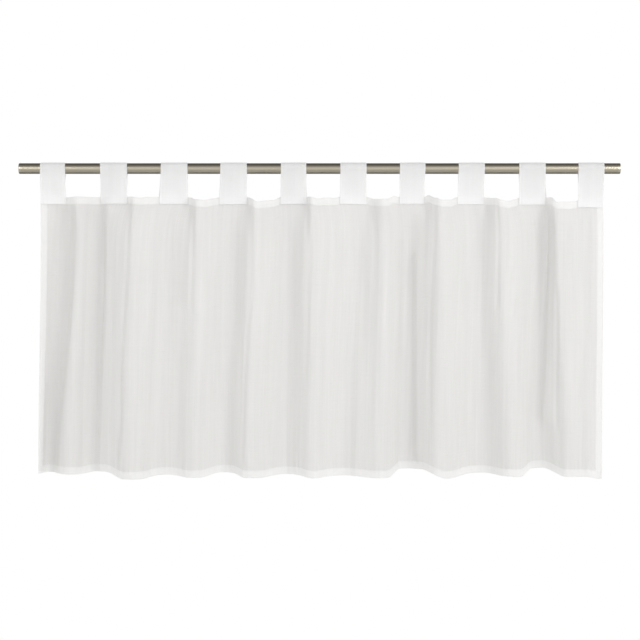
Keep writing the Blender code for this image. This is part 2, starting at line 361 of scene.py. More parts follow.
def crease_relief(drop, across, x, length):
    """Pressed lines of the folds at one drop.

    A groove is a bell curve pushed in. A step is a steep S less a soft one, so that the cloth
    turns sharply there and keeps its place further off.
    """
    relief = np.zeros(len(across))
    for crease in CREASES:
        place = np.interp(drop, crease.drops, crease.places)
        s = across - np.interp(place, x, length)
        shown = ease(drop, crease.drops[0] - CREASE_FADE, crease.drops[0])
        shown *= 1 - ease(drop, crease.drops[-1], crease.drops[-1] + CREASE_FADE)
        step = np.tanh(s / crease.width) - np.tanh(s / crease.width / 4)
        relief += shown * (crease.step * step - crease.groove * bell(s, crease.width))
    return relief


def slack_relief(drop, across, height):
    """Faint upright ripples: sine waves 7 to 40 mm wide whose phases drift down the cloth."""
    rng = np.random.default_rng(RIPPLE_SEED)
    relief = np.zeros(len(across))
    for wave in np.geomspace(0.007, 0.040, 9):
        start, drift, sway = rng.uniform(0, 2 * math.pi, 3)
        bend = 0.9 * math.sin(drift + drop * 9.0) + 0.5 * math.sin(sway + drop * 23.0)
        relief += np.sin(2 * math.pi * across / wave + start + bend) * wave / 0.040
    return relief * height * ease(drop, HEADING_BAND, HEADING_BAND + 0.040)


def uneven_wave(at, wave):
    """Sine wave whose pace quickens and slows, as puckers along a seam do."""
    pace = 1.3 * np.sin(2 * math.pi * at / (6.7 * wave))
    pace = pace + 0.8 * np.sin(2 * math.pi * at / (3.1 * wave))
    return np.sin(2 * math.pi * at / wave + pace)


def pucker_relief(drop, across, height):
    """Small puckers where a seam draws the cloth in: a wave along the seam, a bell across it."""
    below = drop - HEADING_BAND
    top = 0.6 * uneven_wave(across, 0.0061) * bell(below, 0.0022 if below < 0 else 0.0045)
    above = CLOTH_DROP - BOTTOM_HEM - drop
    hem = uneven_wave(across + 0.37, 0.0083) * bell(above, 0.0030 if above < 0 else 0.0065)
    left = uneven_wave(drop, 0.0105) * bell(across - SIDE_HEM, 0.0032)
    right = uneven_wave(drop + 0.21, 0.0105) * bell(across - CLOTH_WIDTH + SIDE_HEM, 0.0032)
    return height * (top + hem + left + right)


def front_normals(points):
    """Unit vectors square to a surface of points: the way down it crossed with the way across."""
    return unit(np.cross(np.gradient(points, axis=0), np.gradient(points, axis=1)))


def cloth_at(drops, across):
    """Middle surface of the hanging panel at each drop and place across, and its front normals.

    Each row is the cloth's plan at that drop. Its heights run in even steps from the heading's
    sagging edge to the wavy hem. Creases, ripples and puckers then push it along its normals.
    """
    cloth = bpy.context.scene.curtain_cloth
    top_x, _, top_length = plan_at(0.0)
    upper = heading_height(np.interp(across, top_length, top_x))
    hem_x, _, hem_length = plan_at(CLOTH_DROP)
    lower = level_curve(np.interp(across, hem_length, hem_x), *np.array(HEM_LINE).T)
    points = np.empty((len(drops), len(across), 3))
    relief = np.empty((len(drops), len(across)))
    for row, drop in enumerate(drops):
        x, depth, length = plan_at(drop)
        points[row, :, 0] = np.interp(across, length, x)
        points[row, :, 1] = -np.interp(across, length, depth)
        points[row, :, 2] = upper + (lower - upper) * drop / CLOTH_DROP
        relief[row] = (crease_relief(drop, across, x, length)
                       + slack_relief(drop, across, cloth.ripple)
                       + pucker_relief(drop, across, cloth.pucker))
    points += front_normals(points) * relief[..., None]
    return points, front_normals(points)


def round_off(distance, half):
    """Share of the half thickness that is left near an edge: a quarter circle."""
    return np.sqrt(1 - (1 - np.clip(distance / half, 0, 1)) ** 2)


def band_at(drops, across):
    """1 on the heading and the hems, where the cloth is turned, and 0 off them."""
    side = np.minimum(across, CLOTH_WIDTH - across)
    sides = 1 - ease(side, SIDE_HEM, SIDE_HEM + HEM_STEP)
    top = 1 - ease(drops, HEADING_BAND, HEADING_BAND + HEM_STEP)
    bottom = ease(drops, CLOTH_DROP - BOTTOM_HEM - HEM_STEP, CLOTH_DROP - BOTTOM_HEM)
    return np.maximum(np.maximum(top, bottom)[:, None], sides[None, :])


def cloth_faces(drops, across):
    """How far the panel's two faces lie off its middle surface. A hem is turned to the back."""
    cloth = bpy.context.scene.curtain_cloth
    front = cloth.thickness / 2
    back = front + (cloth.hem_thickness - cloth.thickness) * band_at(drops, across)
    side = np.minimum(across, CLOTH_WIDTH - across)
    end = np.minimum(drops, CLOTH_DROP - drops)
    edge = np.minimum(end[:, None], side[None, :])
    half = (front + back) / 2
    middle = (front - back) / 2
    rounded = half * round_off(edge, half)
    return middle + rounded, middle - rounded


def new_mesh(name, points, faces):
    """Mesh of some points and faces."""
    mesh = bpy.data.meshes.new(name)
    mesh.from_pydata(points, [], faces)
    return mesh


def link_object(name, data):
    """Put an object that holds the data into the scene, at the origin and unturned."""
    thing = bpy.data.objects.new(name, data)
    bpy.context.collection.objects.link(thing)
    return thing


def ring_walls(ring):
    """Quads between rings of points, one ring to a row."""
    following = np.roll(ring, -1, axis=1)
    walls = np.stack([ring[:-1], ring[1:], following[1:], following[:-1]], axis=-1)
    return walls.reshape(-1, 4)


def ring_caps(ring):
    """Triangles that close both ends: onto point 0, and onto the point after the last ring."""
    first, last = ring[0], ring[-1]
    return np.concatenate([
        np.stack([np.zeros_like(first), first, np.roll(first, -1)], axis=-1),
        np.stack([np.full_like(last, last[-1] + 1), np.roll(last, -1), last], axis=-1),
    ])


def shell_mesh(name, points, normals, outer, inner, flat):
    """Closed thin shell over a grid: two skins, off the grid by outer and inner along its normals.

    The skins share the border's points, where outer equals inner. flat holds each grid point's
    place on the flat cloth. The map cloth is that place in metres. The map OFBake puts the outer
    skin in the upper half of the unit square and the inner skin in the lower half.
    """
    rows, columns = outer.shape
    place = np.arange(rows * columns).reshape(rows, columns)
    quads = np.stack([place[:-1, :-1], place[1:, :-1], place[1:, 1:], place[:-1, 1:]], axis=-1)
    quads = quads.reshape(-1, 4)
    within = place[1:-1, 1:-1].ravel()
    twin = place.ravel().copy()
    twin[within] = rows * columns + np.arange(len(within))
    skin = (points + normals * outer[..., None]).reshape(-1, 3)
    lining = (points + normals * inner[..., None]).reshape(-1, 3)[within]
    turned = quads[:, ::-1]
    faces = np.concatenate([quads, twin[turned]])
    mesh = new_mesh(name, np.concatenate([skin, lining]), faces)
    corners = np.concatenate([quads, turned]).ravel()
    flat = flat.reshape(-1, 2)
    low = flat.min(axis=0)
    share = ((flat - low) / (flat.max(axis=0) - low))[corners]
    upper = np.arange(len(corners)) < len(corners) // 2
    bake = np.stack([0.004 + 0.992 * share[:, 0],
                     0.496 - 0.492 * share[:, 1] + np.where(upper, 0.502, 0.0)], axis=-1)
    for title, spots in (("OFBake", bake), ("cloth", flat[corners])):
        layer = mesh.uv_layers.new(name=title)
        layer.uv.foreach_set("vector", spots.astype(np.float32).ravel())
    mesh.shade_smooth()
    return mesh


def add_piece(name, mesh, material):
    """Put a mesh into the scene as a piece that rides on the curtain's one body."""
    mesh.materials.append(material)
    piece = link_object(name, mesh)
    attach(piece, "root")
    return piece


def sampled(at, length, rows):
    """Rows of a table worked out at places between them, which their lengths along give."""
    return np.stack([np.interp(at, length, column) for column in rows.T], axis=-1)


def seam_at(points, normals, lift, pitch):
    """Even steps along a line of points: each stitch's centre, its way along and its way out."""
    length = running_total(np.linalg.norm(np.diff(points, axis=0), axis=1))
    count = max(int(length[-1] / pitch), 1)
    at = (np.arange(count) + 0.5) * length[-1] / count
    lifted = points + normals * np.broadcast_to(lift, len(points))[:, None]
    ahead = sampled(at + pitch / 4, length, lifted)
    behind = sampled(at - pitch / 4, length, lifted)
    outward = sampled(at, length, normals)
    return sampled(at, length, lifted), unit(ahead - behind), unit(outward)


def stitch_mesh(name, seams):
    """Every stitch of some seams: a thread that dips into the cloth at both ends.

    Its section is a hexagon. Its radius is full in the middle and nothing at the ends, and its
    line rises out of the cloth in the middle.
    """
    thread = bpy.context.scene.curtain_thread
    centre, along, outward = (np.concatenate(parts) for parts in zip(*seams))
    outward = unit(outward - along * (outward * along).sum(axis=-1, keepdims=True))
    beside = np.cross(along, outward)
    steps = np.array([-0.86, -0.5, 0.0, 0.5, 0.86])
    radius = np.array([0.62, 0.95, 1.0, 0.95, 0.62]) * thread.radius
    rise = np.array([-0.35, 0.30, 0.50, 0.30, -0.35]) * thread.radius
    sides = 6
    turn = np.arange(sides) * math.pi / 3
    run = thread.stitch / 2
    forward = np.concatenate([[-run], np.repeat(steps * run, sides), [run]])
    lifted = rise[:, None] + radius[:, None] * np.sin(turn)
    up = np.concatenate([[-thread.radius], lifted.ravel(), [-thread.radius]])
    sideways = np.concatenate([[0.0], (radius[:, None] * np.cos(turn)).ravel(), [0.0]])
    points = (centre[:, None] + along[:, None] * forward[:, None] + outward[:, None] * up[:, None]
              + beside[:, None] * sideways[:, None])
    ring = 1 + np.arange(len(steps) * sides).reshape(-1, sides)
    shift = (np.arange(len(centre)) * len(forward))[:, None, None]
    walls = (ring_walls(ring) + shift).reshape(-1, 4)
    tips = (ring_caps(ring) + shift).reshape(-1, 3)
    mesh = new_mesh(name, points.reshape(-1, 3), walls.tolist() + tips.tolist())
    mesh.shade_smooth()
    return mesh


def lathe_mesh(name, profile, sides):
    """A profile of places along X and radii, carried round X. Each end closes in a point."""
    x, radius = np.array(profile).T
    turn = np.arange(sides) * 2 * math.pi / sides
    body = np.empty((len(x) - 2, sides, 3))
    body[..., 0] = x[1:-1, None]
    body[..., 1] = radius[1:-1, None] * np.cos(turn)
    body[..., 2] = radius[1:-1, None] * np.sin(turn)
    ring = 1 + np.arange((len(x) - 2) * sides).reshape(-1, sides)
    points = np.concatenate([[[x[0], 0.0, 0.0]], body.reshape(-1, 3), [[x[-1], 0.0, 0.0]]])
    mesh = new_mesh(name, points, ring_walls(ring).tolist() + ring_caps(ring).tolist())
    mesh.shade_smooth()
    mesh.set_sharp_from_angle(angle=math.radians(40))
    return mesh


class Signal:
    """One output socket of a node. Each operator on it adds a Math node and gives its output."""

    def __init__(self, finish, socket):
        self.finish = finish
        self.socket = socket

    def math(self, operation, first, second=0.0):
        return self.finish.node("ShaderNodeMath", {"operation": operation}, {0: first, 1: second})

    def beside(self, output):
        """Another output of the same node."""
        return Signal(self.finish, self.socket.node.outputs[output])

    def __add__(self, other):
        return self.math("ADD", self, other)

    def __radd__(self, other):
        return self.math("ADD", other, self)

    def __sub__(self, other):
        return self.math("SUBTRACT", self, other)

    def __rsub__(self, other):
        return self.math("SUBTRACT", other, self)

    def __mul__(self, other):
        return self.math("MULTIPLY", self, other)

    def __rmul__(self, other):
        return self.math("MULTIPLY", other, self)


class Finish:
    """A node tree that is being filled: of a material, or of the world."""

    def __init__(self, owner):
        self.owner = owner
        owner.use_nodes = True
        self.tree = owner.node_tree
        self.tree.nodes.clear()

    def node(self, kind, settings=None, sockets=None, output=0):
        """Add a node, set it up, fill its sockets with values or links and give its output."""
        node = self.tree.nodes.new(kind)
        for key, value in (settings or {}).items():
            if key == "stops":
                self.set_stops(node.color_ramp, value)
            else:
                setattr(node, key, value)
        for key, value in (sockets or {}).items():
            self.fill(self.find(node.inputs, key), value)
        return Signal(self, self.find(node.outputs, output)) if node.outputs else None

    def find(self, sockets, key):
        """Socket by its number, or by its identifier, which is unique where names are not."""
        if isinstance(key, int):
            return sockets[key]
        return next(socket for socket in sockets if key in (socket.identifier, socket.name))

    def fill(self, socket, value):
        """Link a signal to a socket, or set the socket's own value."""
        if isinstance(value, Signal):
            self.tree.links.new(value.socket, socket)
        else:
            socket.default_value = value

    def set_stops(self, ramp, stops):
        """Give a ramp its stops: pairs of a place and a grey level."""
        while len(ramp.elements) > 1:
            ramp.elements.remove(ramp.elements[-1])
        for number, (place, level) in enumerate(stops):
            element = ramp.elements[0] if number == 0 else ramp.elements.new(place)
            element.position = place
            element.color = (level, level, level, 1.0)

    def ease(self, value, low, high):
        """Smooth S from 0 at low to 1 at high."""
        return self.node("ShaderNodeMapRange", {"interpolation_type": "SMOOTHSTEP"},
                         {"Value": value, "From Min": low, "From Max": high})

    def noise(self, coordinates, scale, detail=2.0, roughness=0.5):
        """Noise whose grain is stretched by a scale for each axis."""
        stretched = self.node("ShaderNodeMapping", {}, {"Vector": coordinates, "Scale": scale})
        return self.node("ShaderNodeTexNoise", {}, {
            "Vector": stretched, "Scale": 1.0, "Detail": detail, "Roughness": roughness})

    def blend(self, factor, first, second):
        """Colour between two colours."""
        return self.node("ShaderNodeMix", {"data_type": "RGBA"}, {
            "Factor_Float": factor, "A_Color": first, "B_Color": second}, "Result_Color")

    def bump(self, height, distance):
        """Normal of a relief that is distance high where height is 1."""
        return self.node("ShaderNodeBump", {}, {
            "Height": height, "Distance": distance, "Strength": 1.0})

    def principled(self, sockets):
        """Principled shader with some of its sockets filled."""
        return self.node("ShaderNodeBsdfPrincipled", {}, sockets)

    def surface(self, shader):
        """Make a shader the material's surface and give the material."""
        self.node("ShaderNodeOutputMaterial", {}, {"Surface": shader})
        return self.owner


def toned(colour, share=1.0):
    """Colour times a share, with a full alpha."""
    return (*(part * share for part in colour[:3]), 1.0)


def woven_grain(finish):
    """Tone and relief of voile: upright and level threads of uneven weight, and short thick slubs.

    The cloth map is in metres, so a scale of 400 makes a grain 2.5 mm wide. Tone is about 0 on
    average, and relief lies between 0 and 1.
    """
    cloth = finish.node("ShaderNodeUVMap", {"uv_map": "cloth"})
    warp = finish.noise(cloth, (420.0, 9.0, 1.0))
    broad = finish.noise(cloth, (95.0, 3.5, 1.0))
    weft = finish.noise(cloth, (14.0, 520.0, 1.0))
    slub = finish.ease(finish.noise(cloth, (60.0, 640.0, 1.0), 1.0), 0.66, 0.76)
    upright_slub = finish.ease(finish.noise(cloth, (560.0, 38.0, 1.0), 1.0), 0.67, 0.77)
    threads = 0.48 * (warp - 0.5) + 0.50 * (broad - 0.5) + 0.22 * (weft - 0.5)
    tone = threads - 0.22 * slub + 0.16 * upright_slub
    relief = 0.45 * warp + 0.35 * weft + 0.5 * slub + 0.3 * upright_slub
    return cloth, tone, relief


def cloth_surface(finish, tint, normal, through, light_through):
    """Matt cloth that lets some light through: Principled mixed with Translucent."""
    solid = finish.principled({
        "Base Color": tint, "Roughness": 0.85, "Normal": normal,
        "Specular IOR Level": 0.25, "Sheen Weight": 0.12, "Sheen Roughness": 0.5})
    glow = finish.node("ShaderNodeBsdfTranslucent", {}, {"Color": light_through, "Normal": normal})
    return finish.surface(finish.node("ShaderNodeMixShader", {}, {
        "Fac": through, 1: solid, 2: glow}))


def make_sheer_cloth():
    """Voile of the panel: a single layer greyer than the hems, where the turned cloth is whiter."""
    settings = bpy.context.scene.curtain_cloth
    finish = Finish(bpy.data.materials.new("sheer_voile"))
    cloth, tone, relief = woven_grain(finish)
    across = finish.node("ShaderNodeSeparateXYZ", {}, {"Vector": cloth}, "X")

    def past(place, line):
        return finish.ease(place, line - HEM_BLUR, line + HEM_BLUR)

    down = across.beside("Y")
    sides = 1.0 - past(across, SIDE_HEM) + past(across, CLOTH_WIDTH - SIDE_HEM)
    ends = 1.0 - past(down, HEADING_BAND) + past(down, CLOTH_DROP - BOTTOM_HEM)
    turned = sides.math("MINIMUM", sides.math("MAXIMUM", sides, ends), 1.0)
    single = settings.colour
    layers = settings.hem_colour
    light = finish.blend(turned, toned(single), toned(layers))
    dark = finish.blend(turned, toned(single, 0.80), toned(layers, 0.86))
    thinner = settings.hem_light_through - settings.light_through
    return cloth_surface(finish, finish.blend(0.5 - tone, light, dark),
                         finish.bump(relief, 0.00012), settings.light_through + turned * thinner,
                         toned(single, 1.02))


def make_tab_cloth():
    """The same voile in the two layers of a tab, which is whiter and lets less light through, and
    less still down each leaf, a painted brightening towards its foot.
    """
    settings = bpy.context.scene.curtain_tabs
    finish = Finish(bpy.data.materials.new("folded_voile"))
    cloth, tone, relief = woven_grain(finish)
    along = finish.node("ShaderNodeSeparateXYZ", {}, {"Vector": cloth}, "Y")
    from_rod = along - TAB_LENGTH / 2
    # Painted brightening: less light through from near the rod down to each foot lightens the lower
    # leaf, as the light reaching it there would; at the foot itself it also stands for the extra
    # layers on the heading.
    lighter_to_feet = finish.ease(from_rod.math("ABSOLUTE", from_rod), 0.018, TAB_LENGTH / 2)
    thinner = settings.foot_light_through - settings.light_through
    colour = toned(settings.colour)
    return cloth_surface(finish, finish.blend(0.5 - tone * 0.8, colour, toned(colour, 0.86)),
                         finish.bump(relief, 0.00010), settings.light_through + lighter_to_feet * thinner,
                         colour)


def make_thread():
    """White spun thread with a fine twist."""
    settings = bpy.context.scene.curtain_thread
    finish = Finish(bpy.data.materials.new("white_thread"))
    place = finish.node("ShaderNodeTexCoord", {}, {}, "Object")
    grain = finish.noise(place, (900.0, 900.0, 900.0))
    tint = finish.blend(grain, toned(settings.colour), toned(settings.colour, 0.86))
    return finish.surface(finish.principled({
        "Base Color": tint, "Roughness": 0.6, "Normal": finish.bump(grain, 0.00005)}))


def make_brushed_steel():
    """Warm satin steel, brushed lengthwise: long streaks in its roughness, tone and relief."""
    settings = bpy.context.scene.curtain_rod
    finish = Finish(bpy.data.materials.new("brushed_steel_rod"))
    place = finish.node("ShaderNodeTexCoord", {}, {}, "Object")
    fine = finish.noise(place, (3.0, 1500.0, 1500.0), 3.0, 0.6)
    broad = finish.noise(place, (9.0, 260.0, 260.0))
    scuffs = finish.ease(finish.noise(place, (40.0, 420.0, 420.0)), 0.62, 0.80)
    colour = settings.colour
    tint = finish.blend(0.3 * fine + 0.7 * broad, toned(colour, 1.06), toned(colour, 0.93))
    rough = settings.roughness + (fine - 0.5) * 0.06 + (broad - 0.5) * 0.06 + scuffs * 0.03
    return finish.surface(finish.principled({
        "Base Color": tint, "Metallic": 1.0, "Roughness": rough,
        "Normal": finish.bump(0.7 * fine + 0.3 * broad, 0.000005)}))


def panel_columns():
    """Places across the panel: close together at the edges and hems, 2 mm apart between them."""
    edge = np.array([0.0, 0.1, 0.3, 0.6, 1.0, 1.6, 2.4, 3.6, 5.0, 6.5, 8.0, 9.2, 10.0, 10.4,
                     10.8, 11.8]) / 1000
    middle = np.linspace(0.0136, CLOTH_WIDTH - 0.0136, OPEN_COLUMNS)
    return np.concatenate([edge, middle, CLOTH_WIDTH - edge[::-1]])


def panel_drops():
    """Drops of the panel's rows: close together at the edges and seams, 6 mm apart between them."""
    top = np.array([0.0, 0.1, 0.3, 0.6, 1.1, 1.8, 2.8, 4.0, 5.4, 6.8, 8.1, 9.2, 10.2, 11.0, 11.4,
                    11.8, 12.6, 13.8, 15.4, 17.4, 19.8, 22.6, 26.0, 30.0, 34.5]) / 1000
    bottom = np.array([0.0, 0.1, 0.3, 0.6, 1.1, 1.8, 3.0, 4.6, 6.4, 8.2, 9.6, 10.7, 11.5, 11.9,
                       12.3, 13.2, 14.6, 16.6, 19.2, 22.4, 26.5]) / 1000
    body = np.linspace(0.040, CLOTH_DROP - 0.032, OPEN_ROWS)
    return np.concatenate([top, body, CLOTH_DROP - bottom[::-1]])


def panel_seams():
    """Seams of the panel, each on its front and its back."""
    thread = bpy.context.scene.curtain_thread
    step = 0.0004
    x, _, length = plan_at(0.0)
    seams = []

    def sew(drops, across, line):
        points, normals = cloth_at(drops, across)
        outer, inner = cloth_faces(drops, across)
        seams.append(seam_at(points[line], normals[line], outer[line], thread.pitch))
        seams.append(seam_at(points[line], -normals[line], -inner[line], thread.pitch))

    gaps = [(tab.right, following.left) for tab, following in zip(TABS, TABS[1:])]
    spans = [(HEADING_BAND - SEAM_INSET, *np.interp(gap, x, length)) for gap in gaps]
    spans.append((CLOTH_DROP - BOTTOM_HEM + SEAM_INSET, 0.001, CLOTH_WIDTH - 0.001))
    for drop, first, last in spans:
        across = np.linspace(first, last, max(int((last - first) / 0.0008), 3))
        sew(np.array([drop - step, drop, drop + step]), across, np.s_[1])
    drops = np.linspace(HEADING_BAND + 0.001, CLOTH_DROP - BOTTOM_HEM - 0.001, 420)
    for place in (SIDE_HEM - SEAM_INSET, CLOTH_WIDTH - SIDE_HEM + SEAM_INSET):
        sew(drops, np.array([place - step, place, place + step]), np.s_[:, 1])
    return seams


def tangent_angle(foot, side, radius):
    """Angle on the rod where a leaf straight from its foot meets it: side 1 is back, -1 front."""
    reach = np.hypot(foot[:, 1], foot[:, 2])
    return np.arctan2(foot[:, 2], foot[:, 1]) + side * np.arccos(radius / reach)


def tab_columns():
    """Shares across a tab: close together at its edges and its two lines of topstitching."""
    half = np.array([0.0, 0.1, 0.3, 0.7, 1.2, 1.8, 2.4, 2.9, 3.3, 3.7, 4.3, 5.2, 7.0, 9.5, 12.5,
                     16.0]) / 40
    return np.concatenate([half, [0.5], 1 - half[::-1]])


def strap_at(number, shares):
    """Middle surface of one tab in fine rows, its outer normals and its length down each row.

    It runs up behind the heading, straight to the rod, round it, straight down and on in front
    of the heading. On the way round it shifts along the rod by its splay. A running mean with
    bell weights then rounds its bends, and each leaf bows a little between rod and heading.
    """
    cloth = bpy.context.scene.curtain_cloth
    settings = bpy.context.scene.curtain_tabs
    tab = TABS[number]
    x, _, length = plan_at(0.0)
    left, right = np.interp([tab.left, tab.right], x, length)
    band_rows = int(HEADING_BAND / TAB_ROW)
    drops = np.linspace(0, HEADING_BAND, band_rows + 1)
    points, normals = cloth_at(drops, left + (right - left) * shares)
    lies = settings.thickness / 2 + settings.gap
    front = points + normals * (cloth.thickness / 2 + lies)
    splay = (tab.left + tab.right - ROD_LENGTH) / 2 * TAB_SPLAY * (
        (1 - shares) * (number > 0) + shares * (number < len(TABS) - 1))
    points, normals = cloth_at(drops, left + (right - left) * shares + splay)
    back = points - normals * (cloth.hem_thickness - cloth.thickness / 2 + lies)
    radius = ROD_RADIUS + settings.gap + settings.thickness / 2 + ROD_CLEARANCE
    start = tangent_angle(back[0], 1, radius)
    finish = tangent_angle(front[0], -1, radius) + 2 * math.pi
    turn_rows = int(radius * float((finish - start).mean()) / TAB_ROW)
    turn = np.linspace(start, finish, turn_rows + 1)
    around = np.empty((*turn.shape, 3))
    around[..., 0] = tab.rod_left + (tab.rod_right - tab.rod_left) * shares
    around[..., 0] += splay * np.linspace(1, 0, turn_rows + 1)[:, None]
    around[..., 1] = radius * np.cos(turn)
    around[..., 2] = radius * np.sin(turn)
    leaf_rows = int(float(np.linalg.norm(around[0] - back[0], axis=-1).mean()) / TAB_ROW)
    climb = np.linspace(0, 1, leaf_rows + 1)[1:-1, None, None]
    rng = np.random.default_rng(BOW_SEED + number)
    bow = rng.uniform(-0.0006, 0.0010, (2, 2))
    swell = np.sin(math.pi * climb) ** 2
    lean = np.linspace(-1, 1, len(shares))[:, None]
    out = np.array([0.0, 1.0, 0.0])
    behind, before = (out * swell * (bulge + twist * lean * 0.6) for bulge, twist in bow)
    rising = back[0] + (around[0] - back[0]) * climb + behind
    falling = around[-1] + (front[0] - around[-1]) * climb - before
    path = np.concatenate([back[::-1], rising, around, falling, front])
    reach = 15
    weights = bell(np.arange(-reach, reach + 1), 4.5)
    weights /= weights.sum()
    steps = np.arange(1, reach + 1)[:, None, None]
    padded = np.concatenate([path[0] + (path[0] - path[1]) * steps[::-1], path,
                             path[-1] + (path[-1] - path[-2]) * steps])
    smooth = sum(weight * padded[shift:shift + len(path)] for shift, weight in enumerate(weights))
    walked = np.linalg.norm(np.diff(smooth, axis=0), axis=-1).mean(axis=-1)
    return smooth, front_normals(smooth), running_total(walked)


def strap_half(shares, along):
    """Half thickness of a tab: rolled edges, a groove under each topstitching, soft ends."""
    settings = bpy.context.scene.curtain_tabs
    edge = np.minimum(shares, 1 - shares) * TAB_WIDTH
    full = settings.thickness / 2
    profile = full * (0.86 + 0.14 * bell(edge - 0.0013, 0.0009) + 0.10 * ease(edge, 0.004, 0.012)
                      - 0.34 * bell(edge - settings.inset, 0.00055))
    end = np.minimum(along, along[-1] - along)
    stitched = 1 - 0.25 * bell(end - SEAM_INSET, 0.0005)
    nearest = np.minimum(end[:, None], edge[None, :])
    return profile[None, :] * stitched[:, None] * round_off(nearest, full)


def tab_rows(count):
    """Rows of the fine path that the mesh keeps: all near its ends, every fifth between them."""
    ends = np.array([0, 1, 2, 3, 4, 6, 8, 11])
    return np.concatenate([ends, np.arange(15, count - 15, 5), count - 1 - ends[::-1]])


def tab_seams(number):
    """Topstitching of one tab on its outer side, and the row that holds its foot to the heading."""
    settings = bpy.context.scene.curtain_tabs
    thread = bpy.context.scene.curtain_thread
    inset = settings.inset / TAB_WIDTH
    shares = np.array([inset - 0.01, inset, inset + 0.01, 0.5,
                       0.99 - inset, 1 - inset, 1.01 - inset])
    path, normals, along = strap_at(number, shares)
    half = strap_half(shares, along)
    seams = []
    for column in (1, 5):
        line = np.s_[4:-4, column]
        seams.append(seam_at(path[line], normals[line], half[line], thread.pitch))
    shares = np.linspace(inset + 0.03, 0.97 - inset, 41)
    path, normals, along = strap_at(number, shares)
    half = strap_half(shares, along)
    for row in (round(SEAM_INSET / TAB_ROW), len(path) - 1 - round(SEAM_INSET / TAB_ROW)):
        seams.append(seam_at(path[row], normals[row], half[row], thread.pitch))
    return seams


def length_setting(name, description, default, low, high, precision=5):
    """Setting in metres."""
    return bpy.props.FloatProperty(name=name, description=description, default=default,
                                   min=low, max=high, unit="LENGTH", precision=precision)


def colour_setting(name, description, default):
    """Setting that is a colour."""
    return bpy.props.FloatVectorProperty(name=name, description=description, default=default,
                                         size=3, min=0.0, max=1.0, subtype="COLOR")


def share_setting(name, description, default):
    """Setting between 0 and 1."""
    return bpy.props.FloatProperty(name=name, description=description, default=default,
                                   min=0.0, max=1.0, subtype="FACTOR")


class CurtainCloth(bpy.types.PropertyGroup):
    """Voile of the panel."""

    thickness: length_setting(
        "Thickness", "Thickness of one layer of the cloth", 0.0005, 0.0001, 0.001)
    hem_thickness: length_setting(
        "Hem Thickness", "Thickness of the turned and stitched hems", 0.0011, 0.0002, 0.0016)
    ripple: length_setting(
        "Ripple", "Height of the faint upright ripples", 0.0002, 0.0, 0.001)
    pucker: length_setting(
        "Pucker", "Height of the puckers along the seams", 0.00022, 0.0, 0.001)
    colour: colour_setting(
        "Colour", "Colour of one layer of the cloth", (0.852, 0.846, 0.835))
    hem_colour: colour_setting(
        "Hem Colour", "Colour where the cloth is turned", (0.91, 0.907, 0.90))
    light_through: share_setting(
        "Light Through", "Share of the light that passes one layer", 0.33)
    hem_light_through: share_setting(
        "Light Through Hems", "Share of the light that passes a hem", 0.24)


class CurtainTabs(bpy.types.PropertyGroup):
    """The ten tabs."""

    thickness: length_setting(
        "Thickness", "Thickness of a tab, which is two layers", 0.0010, 0.0002, 0.0014)
    gap: length_setting(
        "Gap", "How far a tab lies off the rod and the heading", 0.00006, 0.0, 0.0003)
    inset: length_setting(
        "Topstitch Inset", "Distance of the topstitching from a tab's edge",
        0.0033, 0.001, 0.010, precision=4)
    colour: colour_setting(
        "Colour", "Colour of a tab", (0.93, 0.93, 0.93))
    light_through: share_setting(
        "Light Through", "Share of the light that passes a tab", 0.36)
    # Reached at each end of a tab after a fall down the whole leaf, which paints the leaf lighter
    # towards its foot.
    foot_light_through: share_setting(
        "Light Through Feet", "The same where a tab lies on the heading", 0.14)


class CurtainThread(bpy.types.PropertyGroup):
    """Stitching of the panel and the tabs."""

    radius: length_setting(
        "Radius", "Radius of the thread", 0.00016, 0.00005, 0.0004)
    stitch: length_setting(
        "Stitch", "Length of the thread that shows in one stitch",
        0.0021, 0.0005, 0.005, precision=4)
    pitch: length_setting(
        "Pitch", "Distance from one stitch to the next", 0.0025, 0.001, 0.006, precision=4)
    colour: colour_setting(
        "Colour", "Colour of the thread", (0.86, 0.86, 0.85))


class CurtainRod(bpy.types.PropertyGroup):
    """The steel rod."""

    wall: length_setting(
        "Wall", "Thickness of the tube's wall", 0.0012, 0.0005, 0.004, precision=4)
    edge_break: length_setting(
        "Edge Break", "Size of the broken edge at each end", 0.00025, 0.0001, 0.0006)
    colour: colour_setting(
        "Colour", "Colour of the steel", (0.56, 0.515, 0.412))
    roughness: share_setting(
        "Roughness", "How satin the steel is", 0.32)


class CurtainStudio(bpy.types.PropertyGroup):
    """Floor, light and camera."""

    distance: length_setting(
        "Distance", "How far the camera stands in front of the rod", 2.2, 1.0, 6.0, precision=2)
    view_width: length_setting(
        "View Width", "Width of the view at the rod", 0.972, 0.5, 3.0, precision=4)
    floor_drop: length_setting(
        "Floor Drop", "How far the floor lies below the rod", 1.25, 0.6, 3.0, precision=2)
    floor_colour: colour_setting(
        "Floor Colour", "Colour of the floor", (0.86, 0.86, 0.85))
    key_power: bpy.props.FloatProperty(
        name="Key Power", description="Power of the light at the right, in watts", default=58.0,
        min=0.0, max=500.0)
    room_light: bpy.props.FloatProperty(
        name="Room Light", description="Strength of the even light all round", default=1.37,
        min=0.0, max=3.0)


